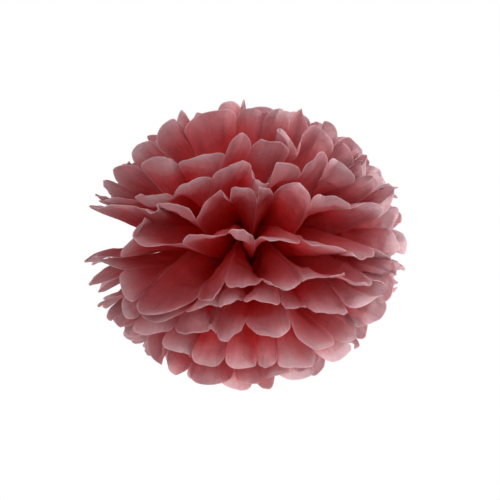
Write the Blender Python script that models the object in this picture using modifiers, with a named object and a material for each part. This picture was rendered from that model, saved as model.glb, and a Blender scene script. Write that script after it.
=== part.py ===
"""Tissue paper pom pom: a stack of pleated sheets, tied in the middle and pulled apart.

Each sheet starts as a flat rectangle. Its pleats run along Y, and both ends of every pleat
are cut round, which makes the petals. The stack is tied at Y = 0, so each half of a sheet
opens as a fan, one towards -Y and one towards +Y. The fans meet in two slits at -X and +X.
The sheets are then pulled apart, from the lowest to the highest, into a ball.

Origin: the middle of the tie. +Z runs through the stack of sheets, and the slits lie on X.
Lengths are in metres and angles in degrees.
"""

import math
import random

import bmesh
import bpy
from mathutils import Vector

# The flat sheet
SHEET_WIDTH = 0.500
SHEET_LENGTH = 0.310
PLEATS = 12
PAPER_THICKNESS = 0.00006
PETAL_CUT_SEGMENTS = 5

# The stack at the tie
SHEET_GAP = 0.00035
NECK_LENGTH = 0.006
NECK_WIDTH = 0.012
NECK_PLEAT_HEIGHT = 0.0010

# The tie wire
WIRE_DIAMETER = 0.0009
WIRE_CLEARANCE = 0.0004
WIRE_CORNER_RADIUS = 0.0015
TWIST_RADIUS = 0.00075
TWIST_PITCH = 0.0055
TWIST_LENGTH = 0.0170

# How far each sheet is pulled from the flat stack, lowest first
SHEET_LIFTS = (-115, -62, -43, -29, -17, 2, 18, 32, 46, 68, 118)
SOFT_LIFT = 72
MOST_LIFT = 89.5
SLIT_SPREAD = 0.42

# Where the folds of the front and the back fans turn to, from -X to +X
FRONT_FOLDS = (-85, -72, -58, -42, -26, -7, 4, 17, 32, 46, 60, 73, 85)
BACK_FOLDS = (-85, -70, -57, -43, -27, -14, 2, 14, 28, 42, 57, 71, 85)

# How a half sheet runs from the tie to its petals
FIRST_BEND = 0.40
BEND_REACH = 0.60
LATE_BEND = 0.32
GATHER_SHARE = 0.97
TOP_SHRINK = 0.10
BOTTOM_SHRINK = 0.08

# How deep the pleats stay: from this length on, in the middle of a fan, at its -X end, at its
# +X end, between which turns to -X they flatten, and how sharp their folds are
PLEAT_OPEN_LENGTH = 0.042
PLEAT_SHARE = 0.74
LEFT_END_PLEAT_SHARE = 0.12
RIGHT_END_PLEAT_SHARE = 0.95
LEFT_END_TURNS = (35, 60)
FOLD_SHARPNESS = 0.97

# How the upright fans wave to and fro, and lean back at the top and forward at the bottom,
# which is all there where the height is 1 / POLE_RISE of the spread
POLE_WAVE = 0.007
POLE_TURN = 67
POLE_LEAN = 0.012
POLE_RISE = 1.2

# How far both slits bend to the back at the rim
SLIT_SWEEP = 0.024

# How much one petal may differ from the next
LIFT_SPREAD = 4.5
TURN_SPREAD = 3.5
REACH_SPREAD = 0.035
LOOSE_REACH = 0.35

# Front petals that were fluffed by hand, sheet by sheet from 0 at the bottom: the place in
# pleats, then how much more lift and turn the petal has there, and its share of the reach
FLUFFED = {
    0: (
        (2.5, 0, 0, 1.00), (3.5, 3, 1, 1.01), (4.5, -4, -1, 1.00), (5, 0, 2, 1.00),
        (5.5, 0, 4, 0.95), (6, 0, 3, 1.00), (6.5, -4, 2, 0.92), (7, 0, 4, 1.00),
        (7.5, 2, 3, 0.94), (8, 0, 7, 1.00), (8.5, 4, 4, 0.94), (9.5, 0, 0, 0.96),
    ),
    1: (
        (2, 2, 4, 0.99), (2.5, -8, 11, 1.00), (3.5, 16, 10, 1.02), (4, 7, 1, 0.97),
        (4.5, 7, 2, 0.98), (5, -1, -2, 0.98), (5.5, 9, 0, 1.00), (6, 12, 0, 1.02),
        (6.5, 9, -4, 0.99), (7, 1, -5, 1.01), (7.5, 9, -6, 1.03),
    ),
    2: (
        (2, -6, 0, 1.02), (2.5, 5, 12, 1.00), (3, -2, 13, 1.00), (3.5, 9, 15, 0.98),
        (4, 14, 14, 1.00), (4.5, 11, 3, 0.99), (5, -1, -5, 1.00), (5.5, 6, -4, 1.00),
        (6, 15, -5, 1.02), (6.5, 8, -3, 1.00), (7, 2, 0, 1.00), (7.5, 1, -2, 1.03),
        (8, -1, 7, 1.03), (8.5, -8, 7, 0.98), (9, -12, 8, 0.99),
    ),
    3: (
        (2.5, -4, -1, 1.00), (3, -10, -6, 1.00), (3.5, -3, 0, 0.97), (4, 5, 3, 1.02),
        (4.5, 5, 2, 1.00), (5, -2, -4, 0.98), (5.5, 8, -4, 1.00), (6, 11, -6, 1.00),
        (6.5, 8, -6, 0.99), (7, 0, -5, 1.01), (7.5, 4, -9, 0.98), (8, 6, -9, 0.98),
        (8.5, 1, -9, 0.99), (9, -7, -3, 1.01),
    ),
    4: (
        (2.5, -4, 2, 0.99), (3, -13, -6, 0.99), (3.5, -11, -1, 1.00), (4, -1, 8, 0.98),
        (4.5, -2, 5, 1.02), (5, -3, -1, 1.01), (5.5, 1, 1, 0.97), (6, 8, 2, 1.01),
        (6.5, 0, 1, 1.00), (7, -3, 5, 0.97), (7.5, 3, 1, 1.00), (8, 7, 9, 1.00),
        (8.5, -2, 5, 1.00), (9, -5, 9, 1.00), (9.5, 0, 5, 1.00), (10, 5, 8, 0.99),
        (10.5, 4, -4, 1.02),
    ),
    5: (
        (2.5, 2, 8, 0.97), (3, 4, 1, 0.99), (3.5, -1, -6, 0.99), (4, 3, 1, 0.98),
        (4.5, -1, 4, 1.02), (5, -3, 0, 0.99), (5.5, 0, 0, 0.97), (6, 4, -1, 1.00),
        (6.5, 0, 0, 1.02), (7, -6, 4, 0.98), (7.5, -3, 0, 1.00), (8, -1, 8, 1.03),
        (8.5, -7, 3, 1.02), (9, -10, 12, 0.99), (9.5, -10, 10, 0.97), (10, -4, 1, 1.03),
        (10.5, -8, 2, 0.99), (11, 2, -1, 1.00), (11.5, 0, -3, 1.00), (12, -4, 0, 1.00),
    ),
    6: (
        (2, 2, 15, 1.03), (2.5, -5, 17, 0.98), (3, -8, 7, 1.02), (3.5, -5, 8, 0.98),
        (4, -4, 8, 1.02), (4.5, -1, 6, 1.00), (5, -6, 1, 1.01), (5.5, 0, 0, 1.00),
        (6, 4, 0, 1.00), (6.5, 2, -6, 1.00), (7, -3, -8, 1.00), (7.5, 3, -8, 0.99),
        (8, 5, -8, 1.00), (8.5, -2, -10, 1.00), (9, -8, -1, 0.97),
    ),
    7: (
        (2, -8, 8, 1.00), (2.5, -13, 13, 0.97), (3, -17, 14, 1.02), (3.5, -9, 15, 1.00),
        (4, 1, 14, 0.99), (4.5, -4, 13, 1.02), (5, -6, 10, 1.03), (5.5, -10, 6, 1.00),
        (6, -2, 4, 1.00), (6.5, -5, 3, 1.02), (7, -8, 5, 0.98), (7.5, 1, 2, 1.01),
        (8, 12, 4, 0.99), (8.5, -1, -4, 1.02), (9, -5, 6, 0.98),
    ),
    8: (
        (2, 3, 2, 1.00), (2.5, -11, 17, 0.98), (3, -14, 14, 1.00), (3.5, -11, 19, 0.97),
        (4, -2, 19, 1.00), (4.5, -4, 14, 1.00), (5, -7, 10, 1.00), (5.5, -7, 10, 1.00),
        (6, 2, 15, 1.00), (6.5, 0, 1, 1.01), (7, -10, 5, 0.99), (7.5, 11, 4, 0.98),
        (8, 15, 12, 0.99), (8.5, 4, 5, 0.99), (9, -2, 15, 0.99),
    ),
    9: (
        (1.5, -6, -5, 0.99), (2, 3, -12, 1.03), (2.5, -8, -4, 1.02), (3, 0, -9, 1.00),
        (3.5, -4, 1, 1.04), (4, 4, -4, 1.02), (4.5, -1, 3, 0.99), (5, -8, 3, 1.03),
        (5.5, 0, 5, 0.97), (6, 2, 3, 1.00), (6.5, 0, 1, 1.00), (7, 0, 3, 1.00),
        (7.5, 0, -4, 1.03), (8.5, 8, 0, 1.02), (9.5, 8, 7, 1.03), (10.5, 0, 4, 1.03),
        (11.5, -2, 1, 1.04),
    ),
    10: (
        (1.5, 0, 0, 0.94), (2.5, 0, 0, 0.94), (3, -2, 4, 0.97), (3.5, -2, 5, 1.04),
        (4, 2, -2, 0.97), (4.5, 3, 0, 0.94), (5, 0, 4, 0.97), (5.5, 0, 1, 1.00),
        (6, 0, -4, 0.98), (6.5, -2, 2, 0.94), (7.5, 0, -1, 0.98), (8.5, 0, 0, 0.98),
        (9.5, 0, 2, 0.97),
    ),
}

# How much more lift both fans have at their -X end, sheet by sheet, at half pleats from 0 on,
# and their share of the reach there
SLIT_END_LIFTS = {
    1: (-10, -8, -5, -2, 0),
    2: (-24, -19, -12, -6, -3),
    3: (-28, -17, -7, -2, 3),
    4: (-19, -12, 2, 8, 4),
    5: (-14, -12, -10, -9, -8),
    6: (9, 5, 1, -2, -4),
    7: (6, 0, -6, -10, -12),
}
SLIT_END_REACHES = (1.00, 1.02, 0.98, 1.00, 0.98)

# Rings of points along a half sheet, as shares of the way from the tie to the cut
RINGS = (0.14, 0.34, 0.66, 1.0)

PAPER_COLOUR = (0.36, 0.13, 0.13, 1.0)
WIRE_COLOUR = (0.55, 0.55, 0.53, 1.0)

PLEAT_WIDTH = SHEET_WIDTH / PLEATS
HALF_LENGTH = SHEET_LENGTH / 2
CUT_RADIUS = PLEAT_WIDTH / 2
STACK_PITCH = PAPER_THICKNESS + SHEET_GAP


def clear_scene():
    """Remove whatever the scene holds."""
    for obj in list(bpy.data.objects):
        bpy.data.objects.remove(obj)


def smooth(share):
    """Rise from 0 to 1 with flat ends."""
    share = min(max(share, 0.0), 1.0)
    return share * share * (3 - 2 * share)


def soft_lift(lift):
    """Press lifts near the pole together, so that the two fans never cross there."""
    room = MOST_LIFT - SOFT_LIFT
    past = abs(lift) - SOFT_LIFT
    if past <= 0:
        return lift
    return math.copysign(SOFT_LIFT + room * (1 - math.exp(-past / room)), lift)


def fan_direction(turn, lift):
    """Direction from the tie to a point of the +Y fan, at this turn to +X and this lift to +Z."""
    turn, lift = math.radians(turn), math.radians(soft_lift(lift))
    across, ahead = math.sin(turn), math.cos(turn)
    up = (ahead + SLIT_SPREAD * across * across) * math.sin(lift)
    return Vector((across, ahead * math.cos(lift), up)).normalized()


def pleat_wave(place):
    """Height of the pleats at a place counted in pleats: 1 on a ridge, -1 in a valley."""
    return -math.cos(math.pi * place)


def fold_wave(place):
    """Height of the folds at a place counted in pleats, which is nearly straight between folds."""
    return math.asin(FOLD_SHARPNESS * pleat_wave(place)) / math.asin(FOLD_SHARPNESS)


def fold_turn(side, place):
    """Turn at a place counted in pleats, between the turns of the folds on this side."""
    folds = FRONT_FOLDS if side < 0 else BACK_FOLDS
    at = min(max(place / PLEATS, 0.0), 1.0) * (len(folds) - 1)
    low = min(int(at), len(folds) - 2)
    return folds[low] + (at - low) * (folds[low + 1] - folds[low])


def waved(point):
    """Push a point along Y, which ruffles the upright fans and closes the slits to the eye."""
    height = abs(point.z)
    spread = math.hypot(point.x, height)
    turn = math.degrees(math.atan2(point.x, height))
    push = POLE_WAVE * pleat_wave(PLEATS / 2 * (1 + turn / POLE_TURN))
    push += math.copysign(POLE_LEAN, point.z)
    push *= smooth(spread / HALF_LENGTH) * smooth(POLE_RISE * height / max(spread, 1e-6))
    push += SLIT_SWEEP * (point.x / HALF_LENGTH) ** 2
    return point + Vector((0, push, 0))


def between(values, place):
    """Value at a place counted in pleats: straight from fold to fold, with a bulge between."""
    pleat = min(max(int(place), 0), PLEATS - 1)
    share = min(max(place - pleat, 0.0), 1.0)
    first, middle, last = values[2 * pleat:2 * pleat + 3]
    bulge = middle - (first + last) / 2
    return first * (1 - share) + last * share + bulge * 4 * share * (1 - share)


def end_pleat_share(turn):
    """How much more of its pleats' depth a fan keeps at this turn: less at -X, more at +X."""
    if turn > 0:
        return (RIGHT_END_PLEAT_SHARE - PLEAT_SHARE) * math.sin(math.radians(turn)) ** 4
    first, last = LEFT_END_TURNS
    return (LEFT_END_PLEAT_SHARE - PLEAT_SHARE) * smooth((-turn - first) / (last - first))


class HalfSheet:
    """One sheet's fan on one side of the tie, with its own scatter of petals."""

    def __init__(self, number, side):
        """Draw the scatter of the petals of sheet number, on side -1 or +1."""
        draw = random.Random(100 * number + side)
        count = 2 * PLEATS + 1
        self.side = side
        self.height = (number - (len(SHEET_LIFTS) - 1) / 2) * STACK_PITCH
        self.lift = SHEET_LIFTS[number]
        self.lifts = [draw.uniform(-LIFT_SPREAD, LIFT_SPREAD) for _ in range(count)]
        self.turns = [draw.uniform(-TURN_SPREAD, TURN_SPREAD) for _ in range(count)]
        self.reaches = [1 + draw.uniform(-REACH_SPREAD, REACH_SPREAD) for _ in range(count)]
        for at, lift in enumerate(SLIT_END_LIFTS.get(number, ())):
            self.lifts[at], self.turns[at], self.reaches[at] = lift, 0, SLIT_END_REACHES[at]
        for place, lift, turn, reach in FLUFFED.get(number, ()) if side < 0 else ():
            at = min(round(2 * place), count - 1)
            self.lifts[at], self.turns[at], self.reaches[at] = lift, turn, reach

    def neck_point(self, place, ahead):
        """Point in the gathered neck under the tie."""
        across = NECK_WIDTH * (place / PLEATS - 0.5)
        pleat = NECK_PLEAT_HEIGHT / 2 * pleat_wave(place)
        return Vector((across, self.side * ahead, self.height + pleat))

    def point(self, place, length):
        """Where the point lies that is this length from the middle of the flat sheet."""
        start = self.neck_point(place, NECK_LENGTH / 2)
        free = length - NECK_LENGTH / 2
        share = free / (HALF_LENGTH - NECK_LENGTH / 2)
        loose = smooth((share - LOOSE_REACH) / (1 - LOOSE_REACH))
        turn = fold_turn(self.side, place) + loose * between(self.turns, place)
        upright = math.sin(math.radians(soft_lift(self.lift))) ** 2
        late = LATE_BEND * (1 - upright**3)
        bend = (1 - late) * smooth(share / BEND_REACH) + late * share**3
        lift = self.lift * (FIRST_BEND + (1 - FIRST_BEND) * bend)
        lift += loose * between(self.lifts, place)
        pole = upright * smooth(share)
        shrink = TOP_SHRINK if self.lift > 0 else BOTTOM_SHRINK
        reach = free * GATHER_SHARE * (1 - shrink * pole)
        reach *= 1 + loose * (between(self.reaches, place) - 1)
        folded = PLEAT_SHARE + smooth(share) * end_pleat_share(turn)
        chord = reach * math.radians(FRONT_FOLDS[-1] - FRONT_FOLDS[0]) / PLEATS
        depth = math.sqrt(max(PLEAT_WIDTH**2 - chord**2, 0.0)) * folded / 2
        depth *= smooth(free / PLEAT_OPEN_LENGTH)
        lift += math.degrees(depth / max(reach, 1e-6)) * fold_wave(place)
        way = fan_direction(turn, lift)
        return waved(start + reach * Vector((way.x, self.side * way.y, way.z)))


def cut_points():
    """Round cut of one pleat, as places across it and lengths past the notch."""
    steps = range(1, PETAL_CUT_SEGMENTS)
    angles = [math.pi * (1 - step / PETAL_CUT_SEGMENTS) for step in steps]
    return [(0.5 + math.cos(a) / 2, CUT_RADIUS * math.sin(a)) for a in angles]


def add_half_sheet(mesh, half):
    """Add one fan to the mesh, and return its row of points at the tie."""
    notch = HALF_LENGTH - CUT_RADIUS
    rows = [[mesh.verts.new(half.neck_point(p, NECK_LENGTH / 2)) for p in range(PLEATS + 1)]]
    for ring in RINGS:
        length = NECK_LENGTH / 2 + ring * (notch - NECK_LENGTH / 2)
        rows.append([mesh.verts.new(half.point(p, length)) for p in range(PLEATS + 1)])
    for pleat in range(PLEATS):
        for inner, outer in zip(rows[:-2], rows[1:-1]):
            mesh.faces.new((inner[pleat], inner[pleat + 1], outer[pleat + 1], outer[pleat]))
        inner, outer = rows[-2:]
        middle = mesh.verts.new(half.point(pleat + 0.5, notch))
        mesh.faces.new((inner[pleat], inner[pleat + 1], middle))
        mesh.faces.new((inner[pleat + 1], outer[pleat + 1], middle))
        mesh.faces.new((outer[pleat], inner[pleat], middle))
        rim = [outer[pleat]]
        rim += [mesh.verts.new(half.point(pleat + u, notch + more)) for u, more in cut_points()]
        rim.append(outer[pleat + 1])
        for first, second in zip(rim[:-1], rim[1:]):
            mesh.faces.new((first, middle, second))
    return rows[0]


def add_sheet(collection, number, material):
    """Add one folded, tied and fluffed sheet of tissue paper."""
    mesh = bmesh.new()
    back = add_half_sheet(mesh, HalfSheet(number, 1))
    front = add_half_sheet(mesh, HalfSheet(number, -1))
    for pleat in range(PLEATS):
        mesh.faces.new((front[pleat], front[pleat + 1], back[pleat + 1], back[pleat]))
    bmesh.ops.recalc_face_normals(mesh, faces=mesh.faces)
    name = f"tissue_sheet_{number + 1:02d}"
    data = bpy.data.meshes.new(name)
    mesh.to_mesh(data)
    mesh.free()
    data.materials.append(material)
    sheet = bpy.data.objects.new(name, data)
    collection.objects.link(sheet)
    wall = sheet.modifiers.new("paper", "SOLIDIFY")
    wall.thickness = PAPER_THICKNESS
    wall.offset = 0
    wall.use_even_offset = False
    return sheet


def loop_points(half_width, half_height, opening):
    """Rounded rectangle in the XZ plane, from right of the top opening round to its left."""
    radius = WIRE_CORNER_RADIUS
    points = [(opening, half_height)]
    corners = ((1, 1, 90), (1, -1, 0), (-1, -1, -90), (-1, 1, -180))
    for side, level, start in corners:
        x, z = side * (half_width - radius), level * (half_height - radius)
        for step in range(4):
            angle = math.radians(start - 30 * step)
            points.append((x + radius * math.cos(angle), z + radius * math.sin(angle)))
    points.append((-opening, half_height))
    return [Vector((x, 0, z)) for x, z in points]


def strand_points(phase, bottom):
    """One strand of the twisted ends, from the tie upwards."""
    per_turn = 6
    count = round(per_turn * TWIST_LENGTH / TWIST_PITCH)
    points = []
    for step in range(count + 1):
        angle = math.radians(phase) + 2 * math.pi * step / per_turn
        height = bottom + TWIST_LENGTH * step / count
        x, y = TWIST_RADIUS * math.cos(angle), TWIST_RADIUS * math.sin(angle)
        points.append(Vector((x, y, height)))
    return points


def add_tie(collection, material):
    """Add the wire: once round the neck, with its ends twisted together above it."""
    radius = WIRE_DIAMETER / 2
    stack = (len(SHEET_LIFTS) * STACK_PITCH + NECK_PLEAT_HEIGHT) / 2
    half_width = NECK_WIDTH / 2 + WIRE_CLEARANCE + radius
    half_height = stack + WIRE_CLEARANCE + radius
    bottom = half_height + 2 * radius
    path = list(reversed(strand_points(0, bottom)))
    path += loop_points(half_width, half_height, 2 * TWIST_RADIUS)
    path += strand_points(180, bottom)
    curve = bpy.data.curves.new("tie_wire", "CURVE")
    curve.dimensions = "3D"
    curve.bevel_depth = radius
    curve.bevel_resolution = 2
    curve.use_fill_caps = True
    spline = curve.splines.new("POLY")
    spline.points.add(len(path) - 1)
    for point, place in zip(spline.points, path):
        point.co = (*place, 1)
    curve.materials.append(material)
    wire = bpy.data.objects.new("tie_wire", curve)
    collection.objects.link(wire)
    return wire


def add_material(name, colour, roughness, metallic):
    """Add a plain Principled material."""
    material = bpy.data.materials.new(name)
    material.use_nodes = True
    shader = material.node_tree.nodes["Principled BSDF"]
    shader.inputs["Base Color"].default_value = colour
    shader.inputs["Roughness"].default_value = roughness
    shader.inputs["Metallic"].default_value = metallic
    return material


def main():
    """Build the pom pom."""
    clear_scene()
    collection = bpy.data.collections.new("tissue_paper_pom_pom")
    bpy.context.scene.collection.children.link(collection)
    paper = add_material("tissue_paper", PAPER_COLOUR, 0.85, 0.0)
    steel = add_material("florist_wire", WIRE_COLOUR, 0.35, 1.0)
    for number in range(len(SHEET_LIFTS)):
        add_sheet(collection, number, paper)
    add_tie(collection, steel)


main()
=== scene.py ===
"""Tissue paper pom pom: eleven sheets, pleated, tied in the middle and fluffed into a ball.

Every sheet of the CAD model is replaced by a finely made one that follows the same fold:
the sheet is worked out flat, as a place counted in pleats and a length from the middle, and
each of its points is then carried to where folding, tying and pulling apart put it.

Origin: the middle of the tie. +Z runs through the stack, and the viewer stands at -Y.
Lengths are in metres and angles in degrees, unless a name says otherwise.
"""

import logging
import math
import random
from dataclasses import dataclass, field
from enum import Enum

import bpy
import numpy as np
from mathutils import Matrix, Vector


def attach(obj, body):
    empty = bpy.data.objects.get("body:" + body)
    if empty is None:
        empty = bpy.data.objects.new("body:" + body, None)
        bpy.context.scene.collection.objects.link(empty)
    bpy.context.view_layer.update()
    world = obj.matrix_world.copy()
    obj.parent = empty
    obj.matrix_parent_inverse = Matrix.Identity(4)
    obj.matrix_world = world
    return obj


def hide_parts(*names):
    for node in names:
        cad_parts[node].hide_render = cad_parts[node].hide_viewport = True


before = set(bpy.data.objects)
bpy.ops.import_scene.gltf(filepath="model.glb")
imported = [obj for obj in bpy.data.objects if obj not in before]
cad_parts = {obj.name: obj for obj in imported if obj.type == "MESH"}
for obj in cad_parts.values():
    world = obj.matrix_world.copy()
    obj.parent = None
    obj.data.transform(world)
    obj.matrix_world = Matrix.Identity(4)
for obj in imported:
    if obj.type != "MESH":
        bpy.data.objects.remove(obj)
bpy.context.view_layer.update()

log = logging.getLogger("pom_pom")

BODY = "root"
WIRE_NODE = "tie_wire"
# Each point of a sheet carries where it lay on the flat sheet: its distance across, its length
# from the tie and its distance from the round cut.
FLAT_PLACE = "flat_place"

# Blender's names for the nodes that are used most.
MATH = "ShaderNodeMath"
RANGE = "ShaderNodeMapRange"
NOISE = "ShaderNodeTexNoise"
# No sum divides by a length or an area below these.
LEAST_LENGTH = 1e-6
LEAST_AREA = 1e-12

Array = np.ndarray
Settings = dict[str | int, object]
Socket = bpy.types.NodeSocket
Tree = bpy.types.NodeTree


class Side(Enum):
    """Which fan of a sheet is meant: the one towards the viewer, or the one behind."""

    FRONT = -1
    BACK = 1


class Draw(Enum):
    """What is drawn at random: its first seed, and the step from one sheet's seed to the next."""

    SCATTER = (0, 100)
    CUPS = (700, 40)
    NICKS = (900, 40)
    CRUMPLES = (7, 31)

    def seed(self, number: int, side: Side) -> int:
        """Seed for one fan of one sheet."""
        first, step = self.value
        return first + step * number + side.value


def linear(colour: str) -> tuple[float, float, float, float]:
    """Turn a colour to linear light.

    Args:
        colour: The colour as sRGB hex, such as "a7707a".

    Returns:
        Red, green, blue and an alpha of 1.
    """
    shares = [int(colour[at : at + 2], 16) / 255 for at in (0, 2, 4)]
    # The sRGB curve is straight near black, and a power above that.
    turned = [s / 12.92 if s <= 0.04045 else ((s + 0.055) / 1.055) ** 2.4 for s in shares]
    return (turned[0], turned[1], turned[2], 1.0)


def add_node(
    tree: Tree, kind: str, settings: Settings, links: dict[str | int, Socket] | None = None
) -> bpy.types.Node:
    """Add one node, set it up and link it.

    Args:
        tree: The node tree that it goes into.
        kind: The node's type.
        settings: Values for its properties, or for its inputs by name or number.
        links: The output sockets that its inputs take, by name or number.

    Returns:
        The new node.
    """
    node = tree.nodes.new(kind)
    for name, value in settings.items():
        if isinstance(name, str) and hasattr(node, name):
            setattr(node, name, value)
        else:
            node.inputs[name].default_value = value
    for name, socket in (links or {}).items():
        tree.links.new(socket, node.inputs[name])
    return node


def new_material(name: str) -> tuple[bpy.types.Material, Tree]:
    """Add an empty node material.

    Args:
        name: The material's name.

    Returns:
        The material and its node tree.
    """
    material = bpy.data.materials.new(name)
    material.use_nodes = True
    material.node_tree.nodes.clear()
    return material, material.node_tree


def smooth(share: Array) -> Array:
    """Rise from 0 to 1 with flat ends."""
    share = np.clip(share, 0.0, 1.0)
    return share * share * (3 - 2 * share)


@dataclass(frozen=True)
class Noise:
    """A random pattern of soft patches."""

    size: float
    roughness: float = 0.5
    distortion: float = 0.6
    detail: float = 3.0

    def settings(self) -> Settings:
        """Settings of the node that draws the pattern."""
        looks = {"Roughness": self.roughness, "Distortion": self.distortion}
        return {"Scale": 1 / self.size, "Detail": self.detail, **looks}


@dataclass(frozen=True)
class Grade:
    """A value that runs from one number to another while what it follows runs over a range."""

    over: tuple[float, float]
    gives: tuple[float, float]

    def settings(self) -> Settings:
        """Settings of the node that works the value out."""
        names = ("From Min", "From Max", "To Min", "To Max")
        return dict(zip(names, (*self.over, *self.gives)))


@dataclass(frozen=True)
class TissuePaper:
    """Dyed tissue paper, 17 g/m2, glazed on one side and creased by hand.

    The making gives a soft, even colour, light that comes through from behind, faint fibres
    and dye clouds, and the fine crinkle of a sheet that has been folded and pulled open.
    Painted shade deepens the colour towards the tie, where light passed through several layers;
    painted light pales the rims.
    """

    pleat_width: float
    # Colours of the lit face and of the light that comes through, from the tie to the rims, deeper
    # towards the tie as painted shade and paler at the rims as painted light.
    heart: str = "ec261f"
    body: str = "bc5257"
    rim: str = "a15c63"
    heart_glow: str = "fd4a3a"
    body_glow: str = "e68488"
    rim_glow: str = "efe0e3"
    # They lie at these lengths from the tie, over the flat paper.
    heart_length: float = 0.052
    body_length: float = 0.116
    rim_length: float = 0.152
    # They drift to and fro by up to 12 mm, over clouds of 45 mm.
    clouds: Noise = Noise(size=0.045, roughness=0.6)
    drift: Grade = Grade(over=(0, 1), gives=(-0.012, 0.012))
    # Painted light pales the paper towards both slits, and least at this distance across, where
    # painted shade keeps it deepest. The paler paper looks as if it lay up to 8 mm further from the
    # tie.
    shadiest_across: float = 0.20
    side_light: Grade = Grade(over=(0.03, 0.24), gives=(-0.003, 0.008))
    # The cut edges and the pleats' folds are paler, over about a millimetre: a painted highlight
    # where the thin edges and sharp folds catch the light.
    edge: str = "dcbcc0"
    edge_highlight: Grade = Grade(over=(0, 0.0013), gives=(0.8, 0))
    crease_highlight: Grade = Grade(over=(0, 0.0013), gives=(0.45, 0))
    # Fibres are 1 to 3 mm long; they are drawn at 2.5 mm, the least that shows.
    fibres: Noise = Noise(size=0.0025, roughness=0.65)
    fibre_shades: Grade = Grade(over=(0.3, 0.7), gives=(0.94, 1.05))
    # Fine gathers and streaks of the glazing run with the pleats. They are about 4 mm wide and
    # 45 mm long, and each is one patch of a pattern that is stretched to that size.
    streak_width: float = 0.004
    streak_length: float = 0.045
    streaks: Noise = Noise(size=1.0)
    streak_shades: Grade = Grade(over=(0.3, 0.7), gives=(0.95, 1.05))
    streak_height: float = 0.0008
    # Crinkles of a handled sheet lie 6 to 12 mm apart.
    crinkles: Noise = Noise(size=0.008, roughness=0.55)
    crinkle_height: float = 0.0020
    bump_strength: float = 0.5
    # Thin paper scatters more light through than back, and its glazing has hardly any gloss.
    through: float = 0.6
    gloss: float = 0.2
    roughness: Grade = Grade(over=(0, 1), gives=(0.74, 0.90))

    def material(self) -> bpy.types.Material:
        """Make the material.

        Returns:
            The tissue paper material.
        """
        material, tree = new_material("dyed_tissue_paper")
        coords = add_node(tree, "ShaderNodeTexCoord", {}).outputs["Object"]
        clouds, fibres, crinkles = (
            add_node(tree, NOISE, noise.settings(), {"Vector": coords}).outputs["Fac"]
            for noise in (self.clouds, self.fibres, self.crinkles)
        )
        carried = add_node(tree, "ShaderNodeAttribute", {"attribute_name": FLAT_PLACE})
        flat = carried.outputs["Vector"]
        split = add_node(tree, "ShaderNodeSeparateXYZ", {}, {"Vector": flat})
        across, length, from_rim = split.outputs
        streaks = self._streaks(tree, flat)
        depth = self._depth(tree, across, length, clouds)
        # Painted shade deepens both colours towards the tie, and painted light pales them at the
        # rims.
        face = self._graded(tree, depth, (self.heart, self.body, self.rim))
        glow = self._graded(tree, depth, (self.heart_glow, self.body_glow, self.rim_glow))
        # A painted highlight along the cut edges and the folds.
        highlighted = add_node(
            tree,
            "ShaderNodeMix",
            {"data_type": "RGBA", 7: linear(self.edge)},
            {0: self._highlight_lines(tree, across, from_rim), 6: face},
        ).outputs[2]
        shade = self._shade(tree, fibres, streaks)
        face, glow = (
            add_node(
                tree, "ShaderNodeVectorMath", {"operation": "SCALE"}, {0: colour, "Scale": shade}
            ).outputs["Vector"]
            for colour in (highlighted, glow)
        )
        rough = add_node(tree, RANGE, self.roughness.settings(), {"Value": fibres})
        bump = self._bump(tree, streaks, crinkles)
        paper = add_node(
            tree,
            "ShaderNodeBsdfPrincipled",
            {"Specular IOR Level": self.gloss},
            {"Base Color": face, "Roughness": rough.outputs["Result"], "Normal": bump},
        )
        light = add_node(tree, "ShaderNodeBsdfTranslucent", {}, {"Color": glow, "Normal": bump})
        both = add_node(
            tree,
            "ShaderNodeMixShader",
            {"Fac": self.through},
            {1: paper.outputs["BSDF"], 2: light.outputs["BSDF"]},
        )
        add_node(tree, "ShaderNodeOutputMaterial", {}, {"Surface": both.outputs["Shader"]})
        return material

    def _streaks(self, tree: Tree, flat: Socket) -> Socket:
        """Draw the streaks along the pleats.

        Args:
            tree: The material's node tree.
            flat: The output that holds each point's place on the flat sheet.

        Returns:
            The output that holds the streaks.
        """
        finer = (1 / self.streak_width, 1 / self.streak_length, 0)
        stretched = add_node(
            tree, "ShaderNodeVectorMath", {"operation": "MULTIPLY", 1: finer}, {0: flat}
        ).outputs["Vector"]
        return add_node(tree, NOISE, self.streaks.settings(), {"Vector": stretched}).outputs["Fac"]

    def _depth(self, tree: Tree, across: Socket, length: Socket, clouds: Socket) -> Socket:
        """Work out which length from the tie each point's colour is taken from, with the painted
        light towards the slits.

        Args:
            tree: The material's node tree.
            across: The output that holds the distance across the flat sheet.
            length: The output that holds the point's own length from the tie.
            clouds: The output that holds the dye clouds.

        Returns:
            The output that holds the length.
        """
        drift = add_node(tree, RANGE, self.drift.settings(), {"Value": clouds})
        off = add_node(tree, MATH, {"operation": "SUBTRACT", 1: self.shadiest_across}, {0: across})
        off = add_node(tree, MATH, {"operation": "ABSOLUTE"}, {0: off.outputs["Value"]})
        # Painted light: the colour is paler towards both slits.
        side_lit = add_node(tree, RANGE, self.side_light.settings(), {"Value": off.outputs["Value"]})
        for change in (drift, side_lit):
            links = {0: length, 1: change.outputs["Result"]}
            length = add_node(tree, MATH, {"operation": "ADD"}, links).outputs["Value"]
        return length

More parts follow.
